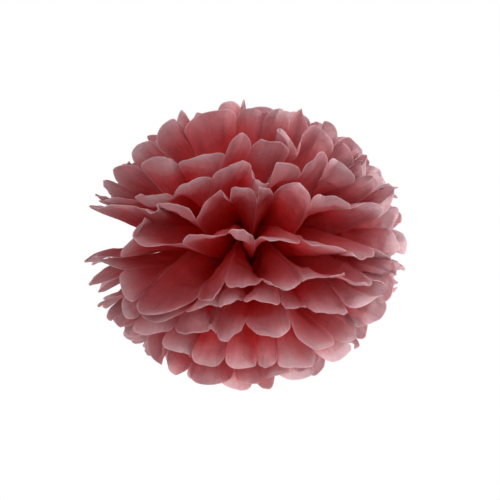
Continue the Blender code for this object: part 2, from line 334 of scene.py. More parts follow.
    def _graded(self, tree: Tree, depth: Socket, colours: tuple[str, str, str]) -> Socket:
        """Grade a colour from the tie to the petals' rims: painted shade near the tie, painted
        light at the rims.

        Args:
            tree: The material's node tree.
            depth: The output that holds the length from the tie.
            colours: The colours at the heart, the body and the rim.

        Returns:
            The output that holds the colour.
        """
        whole = Grade(over=(self.heart_length, self.rim_length), gives=(0, 1))
        share = add_node(tree, RANGE, whole.settings(), {"Value": depth})
        ramp = add_node(tree, "ShaderNodeValToRGB", {}, {"Fac": share.outputs["Result"]})
        middle = (self.body_length - self.heart_length) / (self.rim_length - self.heart_length)
        ramp.color_ramp.elements.new(middle)
        for element, colour in zip(ramp.color_ramp.elements, colours):
            element.color = linear(colour)
        return ramp.outputs["Color"]

    def _highlight_lines(self, tree: Tree, across: Socket, from_rim: Socket) -> Socket:
        """Find the cut edges and the folds, where a highlight is painted.

        Args:
            tree: The material's node tree.
            across: The output that holds the distance across the flat sheet.
            from_rim: The output that holds the distance from the round cut.

        Returns:
            The output that holds how pale each point is for it, as a share.
        """
        to_fold = {"operation": "PINGPONG", 1: self.pleat_width / 2}
        fold = add_node(tree, MATH, to_fold, {0: across}).outputs["Value"]
        edge = add_node(tree, RANGE, self.edge_highlight.settings(), {"Value": from_rim})
        crease = add_node(tree, RANGE, self.crease_highlight.settings(), {"Value": fold})
        links = {0: edge.outputs["Result"], 1: crease.outputs["Result"]}
        return add_node(tree, MATH, {"operation": "MAXIMUM"}, links).outputs["Value"]

    def _shade(self, tree: Tree, fibres: Socket, streaks: Socket) -> Socket:
        """Work out how much lighter or darker the fibres and streaks make each point.

        Args:
            tree: The material's node tree.
            fibres: The output that holds the fibres.
            streaks: The output that holds the streaks.

        Returns:
            The output that holds the share of the colour.
        """
        fibre = add_node(tree, RANGE, self.fibre_shades.settings(), {"Value": fibres})
        streak = add_node(tree, RANGE, self.streak_shades.settings(), {"Value": streaks})
        links = {0: fibre.outputs["Result"], 1: streak.outputs["Result"]}
        return add_node(tree, MATH, {"operation": "MULTIPLY"}, links).outputs["Value"]

    def _bump(self, tree: Tree, streaks: Socket, crinkles: Socket) -> Socket:
        """Raise the streaks and the crinkles.

        Args:
            tree: The material's node tree.
            streaks: The output that holds the streaks.
            crinkles: The output that holds the crinkles.

        Returns:
            The output that holds the normal.
        """
        links = {}
        for heights, most in ((streaks, self.streak_height), (crinkles, self.crinkle_height)):
            settings = {"Strength": self.bump_strength, "Distance": most}
            bump = add_node(tree, "ShaderNodeBump", settings, {"Height": heights, **links})
            links = {"Normal": bump.outputs["Normal"]}
        return links["Normal"]


@dataclass(frozen=True)
class GalvanisedWire:
    """Hot-dip galvanised steel florist wire: a soft grey metal with a dull, cloudy zinc skin."""

    zinc: str = "b4b5b3"
    dull_zinc: str = "94979a"
    # Zinc clouds on drawn wire are about 2 mm long.
    clouds: Noise = Noise(size=0.002, distortion=0.0)
    roughness: Grade = Grade(over=(0, 1), gives=(0.28, 0.48))

    def material(self) -> bpy.types.Material:
        """Make the material.

        Returns:
            The wire material.
        """
        material, tree = new_material("galvanised_steel_wire")
        coords = add_node(tree, "ShaderNodeTexCoord", {}).outputs["Object"]
        clouds = add_node(tree, NOISE, self.clouds.settings(), {"Vector": coords}).outputs["Fac"]
        skin = add_node(tree, "ShaderNodeValToRGB", {}, {"Fac": clouds})
        for element, colour in zip(skin.color_ramp.elements, (self.dull_zinc, self.zinc)):
            element.color = linear(colour)
        rough = add_node(tree, RANGE, self.roughness.settings(), {"Value": clouds})
        steel = add_node(
            tree,
            "ShaderNodeBsdfPrincipled",
            {"Metallic": 1.0},
            {"Base Color": skin.outputs["Color"], "Roughness": rough.outputs["Result"]},
        )
        add_node(tree, "ShaderNodeOutputMaterial", {}, {"Surface": steel.outputs["BSDF"]})
        return material


@dataclass(frozen=True)
class Crumple:
    """Small folds that stay in tissue paper once it has been handled."""

    seed: int
    # Distance from one fold to the next, and height, of each size of fold. They are at their
    # full height from this share of the way from the tie on. Ridges are straight-sided where
    # the power is 1, and sharper below it.
    folds: tuple[tuple[float, float], ...] = ((0.034, 0.0019), (0.017, 0.0009), (0.009, 0.0004))
    fold_start: float = 0.45
    ridge_power: float = 0.8
    # Gathers run from the tie towards the petals, and get lower by this share on their way.
    gather_width: float = 0.0065
    gather_length: float = 0.070
    gather_height: float = 0.0009
    gather_start: float = 0.2
    gather_fade: float = 0.3
    # Fingers leave frills along the rim, three times as long as they are wide.
    frill_pitch: float = 0.0085
    frill_stretch: float = 3
    frill_height: float = 0.0022
    frill_width: float = 0.016
    # The +X side was handled more: past this distance across, and fully so after this much
    # more, its folds are higher by this share.
    handled_across: float = 0.28
    handled_width: float = 0.16
    handled_share: float = 0.7

    def heights(self, across: Array, along: Array, share: Array, from_rim: Array) -> Array:
        """Work out how far each point stands off the smooth sheet.

        Args:
            across: Distance across the flat sheet.
            along: Length from the middle of the flat sheet.
            share: How far each point lies from the tie, from 0 to 1.
            from_rim: Distance from the round cut.

        Returns:
            The heights.
        """
        draw = np.random.RandomState(self.seed)
        total = np.zeros_like(share)
        for pitch, height in self.folds:
            total += height * self._ridges(draw, across / pitch, along / pitch)
        total *= smooth(share / self.fold_start)
        gathers = self._noise(draw, across / self.gather_width, along / self.gather_length)
        gathers = self.gather_height * (2 * gathers - 1) * smooth(share / self.gather_start)
        total += gathers * (1 - self.gather_fade * share)
        frill_length = self.frill_stretch * self.frill_pitch
        frills = self._noise(draw, across / self.frill_pitch, along / frill_length)
        near = np.clip(1 - from_rim / self.frill_width, 0.0, 1.0)
        total += self.frill_height * (2 * frills - 1) * near * near
        handled = smooth((across - self.handled_across) / self.handled_width)
        return total * (1 + self.handled_share * handled)

    def _ridges(self, draw: np.random.RandomState, x: Array, y: Array) -> Array:
        """Noise with sharp ridges and soft valleys, from -1 to 1."""
        return 1 - 2 * np.abs(2 * self._noise(draw, x, y) - 1) ** self.ridge_power

    @staticmethod
    def _noise(draw: np.random.RandomState, x: Array, y: Array) -> Array:
        """Smooth noise from 0 to 1, with one random value at each whole x and y.

        Args:
            draw: Where the random values come from.
            x: How many patches across each point lies.
            y: How many patches along it lies.

        Returns:
            The noise at each point.
        """
        x, y = x - x.min(), y - y.min()
        values = draw.uniform(0, 1, (int(x.max()) + 2, int(y.max()) + 2))
        col, row = x.astype(int), y.astype(int)
        u, v = smooth(x - col), smooth(y - row)
        low = values[col, row] * (1 - u) + values[col + 1, row] * u
        high = values[col, row + 1] * (1 - u) + values[col + 1, row + 1] * u
        return low * (1 - v) + high * v


# Front petals that were fluffed, listed one by one, sheet by sheet from 0 at the bottom: the place
# in pleats, then how much more lift and turn the petal has there, and its share of the reach.
FLUFFED: dict[int, tuple[tuple[float, float, float, float], ...]] = {
    0: (
        (2.5, 0, 0, 1.00), (3.5, 3, 1, 1.01), (4.5, -4, -1, 1.00), (5, 0, 2, 1.00),
        (5.5, 0, 4, 0.95), (6, 0, 3, 1.00), (6.5, -4, 2, 0.92), (7, 0, 4, 1.00),
        (7.5, 2, 3, 0.94), (8, 0, 7, 1.00), (8.5, 4, 4, 0.94), (9.5, 0, 0, 0.96),
    ),
    1: (
        (2, 2, 4, 0.99), (2.5, -8, 11, 1.00), (3.5, 16, 10, 1.02), (4, 7, 1, 0.97),
        (4.5, 7, 2, 0.98), (5, -1, -2, 0.98), (5.5, 9, 0, 1.00), (6, 12, 0, 1.02),
        (6.5, 9, -4, 0.99), (7, 1, -5, 1.01), (7.5, 9, -6, 1.03),
    ),
    2: (
        (2, -6, 0, 1.02), (2.5, 5, 12, 1.00), (3, -2, 13, 1.00), (3.5, 9, 15, 0.98),
        (4, 14, 14, 1.00), (4.5, 11, 3, 0.99), (5, -1, -5, 1.00), (5.5, 6, -4, 1.00),
        (6, 15, -5, 1.02), (6.5, 8, -3, 1.00), (7, 2, 0, 1.00), (7.5, 1, -2, 1.03),
        (8, -1, 7, 1.03), (8.5, -8, 7, 0.98), (9, -12, 8, 0.99),
    ),
    3: (
        (2.5, -4, -1, 1.00), (3, -10, -6, 1.00), (3.5, -3, 0, 0.97), (4, 5, 3, 1.02),
        (4.5, 5, 2, 1.00), (5, -2, -4, 0.98), (5.5, 8, -4, 1.00), (6, 11, -6, 1.00),
        (6.5, 8, -6, 0.99), (7, 0, -5, 1.01), (7.5, 4, -9, 0.98), (8, 6, -9, 0.98),
        (8.5, 1, -9, 0.99), (9, -7, -3, 1.01),
    ),
    4: (
        (2.5, -4, 2, 0.99), (3, -13, -6, 0.99), (3.5, -11, -1, 1.00), (4, -1, 8, 0.98),
        (4.5, -2, 5, 1.02), (5, -3, -1, 1.01), (5.5, 1, 1, 0.97), (6, 8, 2, 1.01),
        (6.5, 0, 1, 1.00), (7, -3, 5, 0.97), (7.5, 3, 1, 1.00), (8, 7, 9, 1.00),
        (8.5, -2, 5, 1.00), (9, -5, 9, 1.00), (9.5, 0, 5, 1.00), (10, 5, 8, 0.99),
        (10.5, 4, -4, 1.02),
    ),
    5: (
        (2.5, 2, 8, 0.97), (3, 4, 1, 0.99), (3.5, -1, -6, 0.99), (4, 3, 1, 0.98),
        (4.5, -1, 4, 1.02), (5, -3, 0, 0.99), (5.5, 0, 0, 0.97), (6, 4, -1, 1.00),
        (6.5, 0, 0, 1.02), (7, -6, 4, 0.98), (7.5, -3, 0, 1.00), (8, -1, 8, 1.03),
        (8.5, -7, 3, 1.02), (9, -10, 12, 0.99), (9.5, -10, 10, 0.97), (10, -4, 1, 1.03),
        (10.5, -8, 2, 0.99), (11, 2, -1, 1.00), (11.5, 0, -3, 1.00), (12, -4, 0, 1.00),
    ),
    6: (
        (2, 2, 15, 1.03), (2.5, -5, 17, 0.98), (3, -8, 7, 1.02), (3.5, -5, 8, 0.98),
        (4, -4, 8, 1.02), (4.5, -1, 6, 1.00), (5, -6, 1, 1.01), (5.5, 0, 0, 1.00),
        (6, 4, 0, 1.00), (6.5, 2, -6, 1.00), (7, -3, -8, 1.00), (7.5, 3, -8, 0.99),
        (8, 5, -8, 1.00), (8.5, -2, -10, 1.00), (9, -8, -1, 0.97),
    ),
    7: (
        (2, -8, 8, 1.00), (2.5, -13, 13, 0.97), (3, -17, 14, 1.02), (3.5, -9, 15, 1.00),
        (4, 1, 14, 0.99), (4.5, -4, 13, 1.02), (5, -6, 10, 1.03), (5.5, -10, 6, 1.00),
        (6, -2, 4, 1.00), (6.5, -5, 3, 1.02), (7, -8, 5, 0.98), (7.5, 1, 2, 1.01),
        (8, 12, 4, 0.99), (8.5, -1, -4, 1.02), (9, -5, 6, 0.98),
    ),
    8: (
        (2, 3, 2, 1.00), (2.5, -11, 17, 0.98), (3, -14, 14, 1.00), (3.5, -11, 19, 0.97),
        (4, -2, 19, 1.00), (4.5, -4, 14, 1.00), (5, -7, 10, 1.00), (5.5, -7, 10, 1.00),
        (6, 2, 15, 1.00), (6.5, 0, 1, 1.01), (7, -10, 5, 0.99), (7.5, 11, 4, 0.98),
        (8, 15, 12, 0.99), (8.5, 4, 5, 0.99), (9, -2, 15, 0.99),
    ),
    9: (
        (1.5, -6, -5, 0.99), (2, 3, -12, 1.03), (2.5, -8, -4, 1.02), (3, 0, -9, 1.00),
        (3.5, -4, 1, 1.04), (4, 4, -4, 1.02), (4.5, -1, 3, 0.99), (5, -8, 3, 1.03),
        (5.5, 0, 5, 0.97), (6, 2, 3, 1.00), (6.5, 0, 1, 1.00), (7, 0, 3, 1.00),
        (7.5, 0, -4, 1.03), (8.5, 8, 0, 1.02), (9.5, 8, 7, 1.03), (10.5, 0, 4, 1.03),
        (11.5, -2, 1, 1.04),
    ),
    10: (
        (1.5, 0, 0, 0.94), (2.5, 0, 0, 0.94), (3, -2, 4, 0.97), (3.5, -2, 5, 1.04),
        (4, 2, -2, 0.97), (4.5, 3, 0, 0.94), (5, 0, 4, 0.97), (5.5, 0, 1, 1.00),
        (6, 0, -4, 0.98), (6.5, -2, 2, 0.94), (7.5, 0, -1, 0.98), (8.5, 0, 0, 0.98),
        (9.5, 0, 2, 0.97),
    ),
}

# How much more lift both fans of a sheet have at their -X end, at half pleats from 0 on, and
# their share of the reach there.
SLIT_END_LIFTS: dict[int, tuple[float, ...]] = {
    1: (-10, -8, -5, -2, 0),
    2: (-24, -19, -12, -6, -3),
    3: (-28, -17, -7, -2, 3),
    4: (-19, -12, 2, 8, 4),
    5: (-14, -12, -10, -9, -8),
    6: (9, 5, 1, -2, -4),
    7: (6, 0, -6, -10, -12),
}
SLIT_END_REACHES = (1.00, 1.02, 0.98, 1.00, 0.98)
# How much more lift only the back fan has there, so that no gap shows from the front.
SLIT_END_SAGS = {5: -1.3}


@dataclass(frozen=True)
class PleatedStack:
    """Sizes of the pleated and tied stack, and how its sheets are pulled apart."""

    # The flat sheets, before their pleats' ends are cut round.
    sheet_width: float = 0.500
    sheet_length: float = 0.310
    pleats: int = 12
    paper_thickness: float = 0.00006
    # The gathered neck under the wire, with a little air between the sheets.
    sheet_gap: float = 0.00035
    neck_length: float = 0.006
    neck_width: float = 0.012
    neck_pleat_height: float = 0.0010
    # How far each sheet is lifted, from the bottom one up. Past the soft lift, lifts are pressed
    # together, so that none passes the most.
    sheet_lifts: tuple[float, ...] = (-115, -62, -43, -29, -17, 2, 18, 32, 46, 68, 118)
    soft_lift: float = 72
    most_lift: float = 89.5
    # How much the sheets spread in the slits at -X and +X, where their two fans meet.
    slit_spread: float = 0.42
    # The turns of the folds, from -X to +X.
    front_folds: tuple[float, ...] = (-85, -72, -58, -42, -26, -7, 4, 17, 32, 46, 60, 73, 85)
    back_folds: tuple[float, ...] = (-85, -70, -57, -43, -27, -14, 2, 14, 28, 42, 57, 71, 85)
    # The share of its lift with which a sheet leaves the tie, the share of its length over which
    # it bends up to the rest, and how much of that is left to the petals' ends.
    first_bend: float = 0.40
    bend_reach: float = 0.60
    late_bend: float = 0.32
    # Gathering takes up some of the length, and the upright sheets were pulled out less.
    gather_share: float = 0.97
    top_shrink: float = 0.10
    bottom_shrink: float = 0.08
    # The pleats open over this length, and then keep this share of their depth: less at the -X
    # end, where they grow flat between two turns, and more at the +X end.
    pleat_open_length: float = 0.042
    pleat_share: float = 0.74
    left_end_share: float = 0.12
    left_end_turns: tuple[float, float] = (35, 60)
    right_end_share: float = 0.95
    # How sharp the folds are: 1 is a knife fold, 0 a wave.
    fold_sharpness: float = 0.97
    # The upright fans wave, with half of the pleats' waves up to this turn, and they lean: back
    # above the tie, forward below it. Points count as upright by this many times their slope.
    pole_wave: float = 0.007
    pole_turn: float = 67
    pole_lean: float = 0.012
    pole_rise: float = 1.2
    # Both slits sweep back, away from the viewer.
    slit_sweep: float = 0.024
    # How far the petals are scattered, and from which share of the length on.
    lift_spread: float = 4.5
    turn_spread: float = 3.5
    reach_spread: float = 0.035
    loose_reach: float = 0.35

    @property
    def pleat_width(self) -> float:
        """Width of one pleat, and so of one petal."""
        return self.sheet_width / self.pleats

    @property
    def half_length(self) -> float:
        """Length from the tie to the tip of a petal."""
        return self.sheet_length / 2

    @property
    def cut_radius(self) -> float:
        """Radius of the round cut at the end of each pleat."""
        return self.pleat_width / 2

    @property
    def notch(self) -> float:
        """Length from the tie to the notch between two petals."""
        return self.half_length - self.cut_radius

    def height(self, number: int) -> float:
        """Height of a sheet in the tied stack."""
        middle = (len(self.sheet_lifts) - 1) / 2
        return (number - middle) * (self.paper_thickness + self.sheet_gap)

    def soft(self, lift: Array) -> Array:
        """Press lifts near the pole together, so that the two fans never cross there.

        Args:
            lift: The lifts.

        Returns:
            The lifts as pressed.
        """
        room = self.most_lift - self.soft_lift
        past = np.maximum(np.abs(lift) - self.soft_lift, 0.0)
        pressed = np.sign(lift) * (self.soft_lift + room * (1 - np.exp(-past / room)))
        return np.where(past > 0, pressed, lift)

    def direction(self, turn: Array, lift: Array) -> Array:
        """Direction from the tie to points of the back fan.

        Args:
            turn: Each point's turn towards +X.
            lift: Each point's lift towards +Z.

        Returns:
            Unit vectors.
        """
        turn, lift = np.radians(turn), np.radians(self.soft(lift))
        across, ahead = np.sin(turn), np.cos(turn)
        up = (ahead + self.slit_spread * across * across) * np.sin(lift)
        way = np.stack([across, ahead * np.cos(lift), up], -1)
        return way / np.linalg.norm(way, axis=-1, keepdims=True)

    def folds(self, place: Array) -> Array:
        """Height of the pleats at places counted in pleats: 1 on a ridge, -1 in a valley."""
        sharp = self.fold_sharpness
        return -np.arcsin(sharp * np.cos(np.pi * place)) / math.asin(sharp)

    def fold_turn(self, side: Side, place: Array) -> Array:
        """Turn at places counted in pleats, between the turns of the folds on this side."""
        folds = self.front_folds if side is Side.FRONT else self.back_folds
        return np.interp(place, np.arange(self.pleats + 1), folds)

    def end_share(self, turn: Array) -> Array:
        """How much more of its pleats' depth a fan keeps: less at -X, more at +X.

        Args:
            turn: Each point's turn.

        Returns:
            What each point adds to the pleats' share.
        """
        first, last = self.left_end_turns
        left = (self.left_end_share - self.pleat_share) * smooth((-turn - first) / (last - first))
        right = (self.right_end_share - self.pleat_share) * np.sin(np.radians(turn)) ** 4
        return np.where(turn < 0, left, right)

    def waved(self, points: Array) -> Array:
        """Push points along Y, which ruffles the upright fans and closes the slits to the eye.

        Args:
            points: The points.

        Returns:
            The points as pushed.
        """
        height = np.abs(points[..., 2])
        spread = np.hypot(points[..., 0], height)
        turn = np.degrees(np.arctan2(points[..., 0], height))
        push = -self.pole_wave * np.cos(np.pi * self.pleats / 2 * (1 + turn / self.pole_turn))
        push = push + np.copysign(self.pole_lean, points[..., 2])
        push *= smooth(spread / self.half_length)
        push *= smooth(self.pole_rise * height / np.maximum(spread, LEAST_LENGTH))
        push += self.slit_sweep * (points[..., 0] / self.half_length) ** 2
        moved = points.copy()
        moved[..., 1] += push
        return moved


@dataclass
class Fan:
    """One sheet's fan on one side of the tie, with its own scatter of petals."""

    stack: PleatedStack
    number: int
    side: Side
    lifts: Array = field(init=False)
    turns: Array = field(init=False)
    reaches: Array = field(init=False)

    def __post_init__(self) -> None:
        """Draw the scatter of the petals, and set the ones that are listed one by one."""
        stack = self.stack
        draw = random.Random(Draw.SCATTER.seed(self.number, self.side))
        count = 2 * stack.pleats + 1
        spreads = (stack.lift_spread, stack.turn_spread, stack.reach_spread)
        drawn = [np.array([draw.uniform(-s, s) for _ in range(count)]) for s in spreads]
        self.lifts, self.turns, self.reaches = drawn[0], drawn[1], 1 + drawn[2]
        for at, lift in enumerate(SLIT_END_LIFTS.get(self.number, ())):
            sag = SLIT_END_SAGS.get(self.number, 0.0) if self.side is Side.BACK else 0.0
            self.lifts[at], self.turns[at] = lift + sag, 0
            self.reaches[at] = SLIT_END_REACHES[at]
        if self.side is Side.FRONT:
            for place, lift, turn, reach in FLUFFED[self.number]:
                at = round(2 * place)
                self.lifts[at], self.turns[at], self.reaches[at] = lift, turn, reach

    def between(self, values: Array, place: Array) -> Array:
        """Values at places counted in pleats, where values has one for each half pleat.

        Args:
            values: The values at the folds and, between them, at the petals' middles.
            place: The places.

        Returns:
            Values that run straight from fold to fold, and bulge to meet the middles' own.
        """
        pleat = np.clip(place.astype(int), 0, self.stack.pleats - 1)
        share = place - pleat
        first, middle, last = values[2 * pleat], values[2 * pleat + 1], values[2 * pleat + 2]
        bulge = middle - (first + last) / 2
        return first * (1 - share) + last * share + bulge * 4 * share * (1 - share)

    def neck(self, place: Array, ahead: float) -> Array:
        """Lay out points in the gathered neck under the tie.

        Args:
            place: Each point's place across the sheet, counted in pleats.
            ahead: How far out of the tie's middle they lie, towards this fan.

        Returns:
            The points in space.
        """
        stack = self.stack
        across = stack.neck_width * (place / stack.pleats - 0.5)
        level = stack.height(self.number) - stack.neck_pleat_height / 2 * np.cos(np.pi * place)
        return np.stack([across, np.full_like(across, self.side.value * ahead), level], -1)

    def points(self, place: Array, length: Array) -> Array:
        """Carry points of the flat sheet to where they lie in the ball.

        Args:
            place: Each point's place across the sheet, counted in pleats.
            length: Each point's length from the middle of the flat sheet.

        Returns:
            The points in space.
        """
        stack = self.stack
        start = self.neck(place, stack.neck_length / 2)
        free = length - stack.neck_length / 2
        share = free / (stack.half_length - stack.neck_length / 2)
        loose = smooth((share - stack.loose_reach) / (1 - stack.loose_reach))
        turn = stack.fold_turn(self.side, place) + loose * self.between(self.turns, place)
        own = stack.sheet_lifts[self.number]
        pole = np.sin(np.radians(stack.soft(np.float64(own)))) ** 2
        late = stack.late_bend * (1 - pole**3)
        rise = (1 - late) * smooth(share / stack.bend_reach) + late * share**3
        lift = own * (stack.first_bend + (1 - stack.first_bend) * rise)
        lift += loose * self.between(self.lifts, place)
        shrink = (stack.top_shrink if own > 0 else stack.bottom_shrink) * pole * smooth(share)
        reach = free * stack.gather_share * (1 - shrink)
        reach *= 1 + loose * (self.between(self.reaches, place) - 1)
        folded = stack.pleat_share + smooth(share) * stack.end_share(turn)
        span = math.radians(stack.front_folds[-1] - stack.front_folds[0])
        chord = reach * span / stack.pleats
        depth = np.sqrt(np.maximum(stack.pleat_width**2 - chord**2, 0.0)) * folded / 2
        depth *= smooth(free / stack.pleat_open_length)
        lift += np.degrees(depth / np.maximum(reach, LEAST_LENGTH)) * stack.folds(place)
        way = stack.direction(turn, lift)
        way[..., 1] *= self.side.value
        return stack.waved(start + reach[..., None] * way)


@dataclass
class TissueSheet:
    """One sheet, from the rim of its front fan through the tie to the rim of its back fan."""

    stack: PleatedStack
    number: int
    material: bpy.types.Material
    # Columns of faces in a pleat and rows in a fan. The rows lie closer near the rim, by this
    # power, and only those near it follow its nicks, by that one.
    columns: int = 18
    rows: int = 50
    row_power: float = 0.85
    nick_power: float = 8
    # Each petal is hollow like a spoon, from and over these shares of the length, and its rim
    # curls a little. Each petal has its own share of both.
    most_cup: float = 0.0035
    cup_start: float = 0.3
    cup_reach: float = 0.5
    cup_shares: tuple[float, float] = (-0.4, 1.0)
    most_curl: float = 0.0050
    curl_width: float = 0.012
    curl_shares: tuple[float, float] = (-1.0, 1.0)
    # Folds hold the paper, so only this share of the crumples is left on them; and they hold it
    # over this share of a pleat to either side. The tie holds it over this share of the length.
    calm: float = 0.25
    calm_width: float = 0.15
    tied_reach: float = 0.15
    # Handling nicks the thin rims, most at +X and never in the notches. Each petal has its own
    # share of it, which grows from -X to +X and isn't below the least.
    nick_pitch: float = 0.0060
    most_nick: float = 0.0020
    whole_notch: float = 0.8
    nick_shares: tuple[float, float] = (-1.0, 0.4)
    least_nicked: float = 0.06
    # Folds steeper than this are knife folds.
    sharp_angle: float = 28

    @property
    def name(self) -> str:
        """Name of the CAD node that this sheet stands for."""
        return f"tissue_sheet_{self.number + 1:02d}"

    def build(self) -> bpy.types.Object:
        """Make the sheet, dress it and put it in the CAD sheet's place.

        Returns:
            The sheet.
        """
        points, flat = [], []
        for side in Side:
            fan = Fan(self.stack, self.number, side)
            places, lengths, from_rim = self._flat_points(fan)
            points.append(self._fan_points(fan, places, lengths, from_rim))
            flat.append(np.stack([places * self.stack.pleat_width, lengths, from_rim], -1))
        obj = self._solid(np.concatenate([points[0][::-1], points[1]]))
        face = np.concatenate([flat[0][::-1], flat[1]])
        carried = obj.data.attributes.new(FLAT_PLACE, "FLOAT_VECTOR", "POINT")
        carried.data.foreach_set("vector", np.concatenate([face, face]).ravel())
        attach(obj, BODY)
        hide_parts(self.name)
        return obj

    def _flat_points(self, fan: Fan) -> tuple[Array, Array, Array]:
        """Lay out one fan's points on the flat sheet, closer together at folds and rims.

        Args:
            fan: The fan.

        Returns:
            Each point's place across, counted in pleats, its length from the middle and its
            distance from the round cut, as rows from the tie to the cut.
        """
        stack = self.stack
        within = (1 - np.cos(np.pi * np.arange(self.columns) / self.columns)) / 2
        place = np.concatenate([pleat + within for pleat in range(stack.pleats)])
        place = np.append(place, float(stack.pleats))
        width = 2 * (place - np.floor(place)) - 1
        arc = stack.cut_radius * np.sqrt(np.maximum(0.0, 1 - width * width))
        torn = self._torn(fan, place) * smooth(arc / (self.whole_notch * stack.cut_radius))
        rows = np.linspace(0, 1, self.rows + 1)[:, None] ** self.row_power
        start = stack.neck_length / 2
        lengths = start + rows * (stack.notch + arc - torn - start)
        places = np.broadcast_to(place, lengths.shape)
        uncut = lengths + torn * rows**self.nick_power
        return places, lengths, self._from_rim(places, uncut)

    def _torn(self, fan: Fan, place: Array) -> Array:
        """Work out how much is nicked away at the rim of each petal.

        Args:
            fan: The fan.
            place: Places across the sheet, counted in pleats.

        Returns:
            The depth of the nicks at each place.
        """
        pleats = self.stack.pleats
        draw = np.random.RandomState(Draw.NICKS.seed(fan.number, fan.side))
        nicked = draw.uniform(*self.nick_shares, pleats) + np.linspace(0.0, 1.0, pleats)
        nicked = np.clip(nicked, self.least_nicked, 1.0)
        at = place * self.stack.pleat_width / self.nick_pitch
        depths = draw.uniform(0, 1, int(at[-1]) + 2) ** 2
        spot = at.astype(int)
        nicks = depths[spot] + (depths[spot + 1] - depths[spot]) * smooth(at - spot)
        return self.most_nick * nicked[self._pleat(place)] * nicks

    def _pleat(self, places: Array) -> Array:
        """The number of the pleat in which each point lies."""
        return np.minimum(places.astype(int), self.stack.pleats - 1)

    def _within(self, places: Array) -> Array:
        """Each point's place within its own pleat, from 0 to 1."""
        return places - self._pleat(places)

    def _from_rim(self, places: Array, lengths: Array) -> Array:
        """Work out the distance of each point from the round cut, over the flat paper.

        Args:
            places: Each point's place, counted in pleats.
            lengths: Each point's length from the middle of the sheet.

        Returns:
            The distances.
        """
        stack = self.stack
        aside = (self._within(places) - 0.5) * stack.pleat_width
        in_petal = stack.cut_radius - np.hypot(aside, np.maximum(lengths - stack.notch, 0.0))
        to_notch = np.hypot(stack.cut_radius - np.abs(aside), stack.notch - lengths)
        return np.where(lengths > stack.notch, in_petal, to_notch)

    def _fan_points(self, fan: Fan, places: Array, lengths: Array, from_rim: Array) -> Array:
        """Carry one fan's points to where they lie, with their cups, curls and crumples.

        Args:
            fan: The fan.
            places: Each point's place, counted in pleats.
            lengths: Each point's length from the middle of the sheet.
            from_rim: Each point's distance from the round cut.

        Returns:
            An array of rows by columns by three.
        """
        share = lengths / self.stack.half_length
        points = fan.points(places, lengths)
        height = self._petal_heights(fan, places, share, from_rim)
        crumple = Crumple(seed=Draw.CRUMPLES.seed(fan.number, fan.side))
        ruffle = crumple.heights(places * self.stack.pleat_width, lengths, share, from_rim)
        aside = np.minimum(self._within(places), 1 - self._within(places))
        height += ruffle * (self.calm + (1 - self.calm) * smooth(aside / self.calm_width))
        height *= smooth(share / self.tied_reach)
        return points + height[..., None] * self._normals(points)

    def _petal_heights(self, fan: Fan, places: Array, share: Array, from_rim: Array) -> Array:
        """How far cupping and curling lift each point off the folded sheet.

        Args:
            fan: The fan that the points belong to.
            places: Each point's place, counted in pleats.
            share: Each point's length from the middle, as a share of the longest.
            from_rim: Each point's distance from the round cut.

        Returns:
            The heights along the sheet's normal.
        """
        stack = self.stack
        draw = random.Random(Draw.CUPS.seed(fan.number, fan.side))
        cups = np.array([draw.uniform(*self.cup_shares) for _ in range(stack.pleats)])
        curls = np.array([draw.uniform(*self.curl_shares) for _ in range(stack.pleats)])
        pleat, within = self._pleat(places), self._within(places)
        cup = self.most_cup * cups[pleat] * 4 * within * (1 - within)
        cup *= smooth((share - self.cup_start) / self.cup_reach)
        near = np.clip(1 - from_rim / self.curl_width, 0.0, 1.0)
        past = (share * stack.half_length - stack.notch) / stack.cut_radius
        return cup + self.most_curl * curls[pleat] * near * near * smooth(past)

    def _normals(self, points: Array) -> Array:
        """Work out the unit normals of a sheet of points.

        Args:
            points: Rows by columns of points.

        Returns:
            The normals, in the same rows and columns.
        """
        along, across = np.gradient(points, axis=0), np.gradient(points, axis=1)
        normal = np.cross(along, across)
        return normal / np.maximum(np.linalg.norm(normal, axis=-1, keepdims=True), LEAST_AREA)

    def _solid(self, middle: Array) -> bpy.types.Object:
        """Give the sheet of points the paper's thickness.

        Args:
            middle: Rows by columns of points on the paper's middle.

        Returns:
            The closed sheet.
        """
        rows, columns = middle.shape[:2]
        offset = self._normals(middle) * self.stack.paper_thickness / 2
        points = np.concatenate([middle + offset, middle - offset]).reshape(-1, 3)
        index = np.arange(rows * columns).reshape(rows, columns)
        top = np.stack([index[:-1, :-1], index[:-1, 1:], index[1:, 1:], index[1:, :-1]], -1)
        under = top[..., ::-1] + rows * columns
        edge = np.concatenate([index[0, :-1], index[:-1, -1], index[-1, :0:-1], index[:0:-1, 0]])
        ahead = np.roll(edge, -1)
        rim = np.stack([ahead, edge, edge + rows * columns, ahead + rows * columns], -1)
        faces = np.concatenate([top.reshape(-1, 4), under.reshape(-1, 4), rim])
        mesh = bpy.data.meshes.new(f"{self.name}_paper")
        mesh.from_pydata(points.tolist(), [], faces.tolist())
        mesh.shade_smooth()
        mesh.set_sharp_from_angle(angle=math.radians(self.sharp_angle))
        mesh.materials.append(self.material)
        obj = bpy.data.objects.new(f"{self.name}_paper", mesh)
        bpy.context.scene.collection.objects.link(obj)
        return obj


